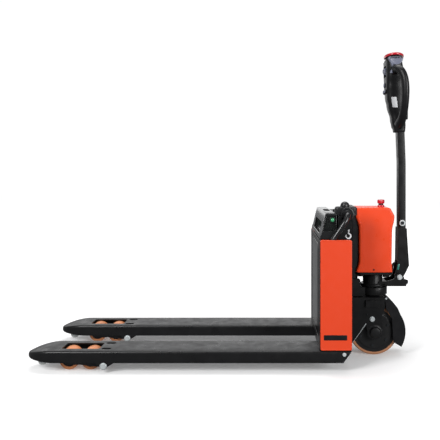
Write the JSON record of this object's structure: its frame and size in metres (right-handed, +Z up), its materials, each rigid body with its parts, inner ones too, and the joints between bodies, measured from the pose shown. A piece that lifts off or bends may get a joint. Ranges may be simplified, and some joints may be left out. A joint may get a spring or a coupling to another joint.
{
  "type": "electric pallet truck",
  "caption": "Walk-behind electric pallet truck with lifting forks on tandem rollers, a steered drive wheel, a removable battery and a tilting tiller with controls.",
  "frame": {"origin": "on the floor, under the middle of the bounding box", "axes": "+X runs from the fork tips to the operator, +Y to the operator's right when facing the fork tips, +Z up"},
  "size_m": [1.55, 0.5522, 1.291],
  "materials": {
    "fork_paint": "satin",
    "frame_paint": "satin",
    "panel_paint": "satin",
    "cover_plastic": "satin",
    "gloss_black": "gloss",
    "black_plastic": "matte",
    "plug_plastic": "satin",
    "cable_rubber": "satin",
    "rod_chrome": "polished",
    "bolt_zinc": "zinc plated",
    "link_steel": "satin",
    "tread": "satin",
    "hub_iron": "painted",
    "roller_nylon": "satin",
    "battery_case": "matte",
    "lamp_green": "gloss",
    "control_grey": "satin",
    "button_red": "satin",
    "spring_steel": "bright",
    "motor_grey": "cast"
  },
  "bodies": {
    "chassis": {"fork_left": "fork_paint", "fork_right": "fork_paint", "heel_frame": "fork_paint", "mast_frame": "frame_paint", "front_cover": "gloss_black", "side_panel_left": "panel_paint", "side_panel_right": "panel_paint", "battery_plug": "plug_plastic", "battery_lead": "cable_rubber", "lift_rod": "rod_chrome", "rod_cap": "black_plastic", "frame_pins": "bolt_zinc"},
    "battery": {"battery_pack": "battery_case", "battery_hood": "gloss_black", "status_lamp": "lamp_green"},
    "carriage": {"lift_carriage": "frame_paint", "lift_cylinder": "frame_paint", "steer_bearing": "bolt_zinc"},
    "drive_unit": {"steer_column": "frame_paint", "drive_yoke": "frame_paint", "yoke_bolts": "bolt_zinc", "mudguard": "black_plastic", "head_base": "frame_paint", "rear_cover": "cover_plastic", "tank_housing": "black_plastic", "pump_motor": "motor_grey", "stop_collar": "button_red", "tiller_bracket": "frame_paint", "tiller_pin": "bolt_zinc", "return_spring": "spring_steel", "tiller_cable": "cable_rubber"},
    "drive_wheel": {"drive_tyre": "tread", "hub_motor": "hub_iron", "hub_bolts": "bolt_zinc"},
    "stop_knob": {"stop_button": "button_red"},
    "tiller": {"tiller_foot": "frame_paint", "tiller_tube": "frame_paint", "head_shell": "black_plastic", "head_bezel": "control_grey", "grip_left": "black_plastic", "grip_right": "black_plastic"},
    "belly_switch": {"belly_button": "button_red"},
    "thumb_throttle": {"throttle": "control_grey"},
    "horn_switch": {"horn_button": "control_grey"},
    "lift_switch": {"lift_button": "control_grey"},
    "lower_switch": {"lower_button": "control_grey"},
    "key_switch": {"key": "bolt_zinc"},
    "crank": {"bell_crank": "link_steel"},
    "arm_left": {"roller_arm_left": "link_steel"},
    "rod_left": {"push_rod_left": "link_steel"},
    "bogie_left": {"bogie_left": "link_steel"},
    "front_roller_left": {"front_roller_left": "tread"},
    "rear_roller_left": {"rear_roller_left": "tread"},
    "entry_roller_left": {"entry_roller_left": "roller_nylon"},
    "arm_right": {"roller_arm_right": "link_steel"},
    "rod_right": {"push_rod_right": "link_steel"},
    "bogie_right": {"bogie_right": "link_steel"},
    "front_roller_right": {"front_roller_right": "tread"},
    "rear_roller_right": {"rear_roller_right": "tread"},
    "entry_roller_right": {"entry_roller_right": "roller_nylon"}
  },
  "joints": [
    {"name": "lift", "type": "slide", "parent": "chassis", "child": "carriage", "axis": [0, 0, -1], "range_m": [0, 0.105]},
    {"name": "battery_lift_out", "type": "slide", "parent": "chassis", "child": "battery", "axis": [0, 0, 1], "range_m": [0, 0.33]},
    {"name": "steering", "type": "hinge", "parent": "carriage", "child": "drive_unit", "pos_m": [0.624, 0, 0.27], "axis": [0, 0, 1], "range_deg": [-90, 90]},
    {"name": "drive_wheel_spin", "type": "hinge", "parent": "drive_unit", "child": "drive_wheel", "pos_m": [0.624, 0, 0.105], "axis": [0, 1, 0], "continuous": true},
    {"name": "stop_press", "type": "slide", "parent": "drive_unit", "child": "stop_knob", "axis": [0, 0, -1], "range_m": [0, 0.005], "stiffness_N_per_m": 2000, "springref_m": -0.002},
    {"name": "tiller_tilt", "type": "hinge", "parent": "drive_unit", "child": "tiller", "pos_m": [0.732, 0, 0.331], "axis": [0, 1, 0], "range_deg": [0, 80], "stiffness_Nm_per_rad": 12, "springref_deg": -57.3, "deforming": ["return_spring", "tiller_cable"]},
    {"name": "belly_press", "type": "slide", "parent": "tiller", "child": "belly_switch", "axis": [0, 0, -1], "range_m": [0, 0.004], "stiffness_N_per_m": 1500, "springref_m": -0.002},
    {"name": "throttle_turn", "type": "hinge", "parent": "tiller", "child": "thumb_throttle", "pos_m": [0.686, 0, 1.206], "axis": [0, 1, 0], "range_deg": [-20, 20], "stiffness_Nm_per_rad": 0.5},
    {"name": "horn_press", "type": "slide", "parent": "tiller", "child": "horn_switch", "axis": [1, 0, 0], "range_m": [0, 0.003], "stiffness_N_per_m": 800, "springref_m": -0.001},
    {"name": "lift_press", "type": "slide", "parent": "tiller", "child": "lift_switch", "axis": [1, 0, 0], "range_m": [0, 0.003], "stiffness_N_per_m": 800, "springref_m": -0.001},
    {"name": "lower_press", "type": "slide", "parent": "tiller", "child": "lower_switch", "axis": [1, 0, 0], "range_m": [0, 0.003], "stiffness_N_per_m": 800, "springref_m": -0.001},
    {"name": "key_turn", "type": "hinge", "parent": "tiller", "child": "key_switch", "pos_m": [0.75, 0, 1.08], "axis": [1, 0, 0], "range_deg": [0, 90]},
    {"name": "crank_swing", "type": "hinge", "parent": "chassis", "child": "crank", "pos_m": [0.41, 0, 0.098], "axis": [0, 1, 0], "range_deg": [0, 68.5]},
    {"name": "arm_swing_left", "type": "hinge", "parent": "chassis", "child": "arm_left", "pos_m": [-0.461, -0.1925, 0.028], "axis": [0, 1, 0], "range_deg": [-68.5, 0]},
    {"name": "rod_swing_left", "type": "hinge", "parent": "arm_left", "child": "rod_left", "pos_m": [-0.44419, -0.1925, 0.05285], "axis": [0, 1, 0], "range_deg": [0, 68.5]},
    {"name": "bogie_rock_left", "type": "hinge", "parent": "arm_left", "child": "bogie_left", "pos_m": [-0.566, -0.1925, 0.04], "axis": [0, 1, 0], "range_deg": [0, 68.5]},
    {"name": "front_roller_spin_left", "type": "hinge", "parent": "bogie_left", "child": "front_roller_left", "pos_m": [-0.6085, -0.1925, 0.04], "axis": [0, 1, 0], "continuous": true},
    {"name": "rear_roller_spin_left", "type": "hinge", "parent": "bogie_left", "child": "rear_roller_left", "pos_m": [-0.5235, -0.1925, 0.04], "axis": [0, 1, 0], "continuous": true},
    {"name": "entry_roller_spin_left", "type": "hinge", "parent": "chassis", "child": "entry_roller_left", "pos_m": [-0.717, -0.1925, 0.033], "axis": [0, 1, 0], "continuous": true},
    {"name": "arm_swing_right", "type": "hinge", "parent": "chassis", "child": "arm_right", "pos_m": [-0.461, 0.1925, 0.028], "axis": [0, 1, 0], "range_deg": [-68.5, 0]},
    {"name": "rod_swing_right", "type": "hinge", "parent": "arm_right", "child": "rod_right", "pos_m": [-0.44419, 0.1925, 0.05285], "axis": [0, 1, 0], "range_deg": [0, 68.5]},
    {"name": "bogie_rock_right", "type": "hinge", "parent": "arm_right", "child": "bogie_right", "pos_m": [-0.566, 0.1925, 0.04], "axis": [0, 1, 0], "range_deg": [0, 68.5]},
    {"name": "front_roller_spin_right", "type": "hinge", "parent": "bogie_right", "child": "front_roller_right", "pos_m": [-0.6085, 0.1925, 0.04], "axis": [0, 1, 0], "continuous": true},
    {"name": "rear_roller_spin_right", "type": "hinge", "parent": "bogie_right", "child": "rear_roller_right", "pos_m": [-0.5235, 0.1925, 0.04], "axis": [0, 1, 0], "continuous": true},
    {"name": "entry_roller_spin_right", "type": "hinge", "parent": "chassis", "child": "entry_roller_right", "pos_m": [-0.717, 0.1925, 0.033], "axis": [0, 1, 0], "continuous": true}
  ],
  "couplings": [
    {"joint": "crank_swing", "follows": "lift", "rad_per_m": 11.33},
    {"joint": "arm_swing_left", "follows": "lift", "rad_per_m": -11.33},
    {"joint": "rod_swing_left", "follows": "lift", "rad_per_m": 11.33},
    {"joint": "bogie_rock_left", "follows": "lift", "rad_per_m": 11.33},
    {"joint": "arm_swing_right", "follows": "lift", "rad_per_m": -11.33},
    {"joint": "rod_swing_right", "follows": "lift", "rad_per_m": 11.33},
    {"joint": "bogie_rock_right", "follows": "lift", "rad_per_m": 11.33}
  ]
}
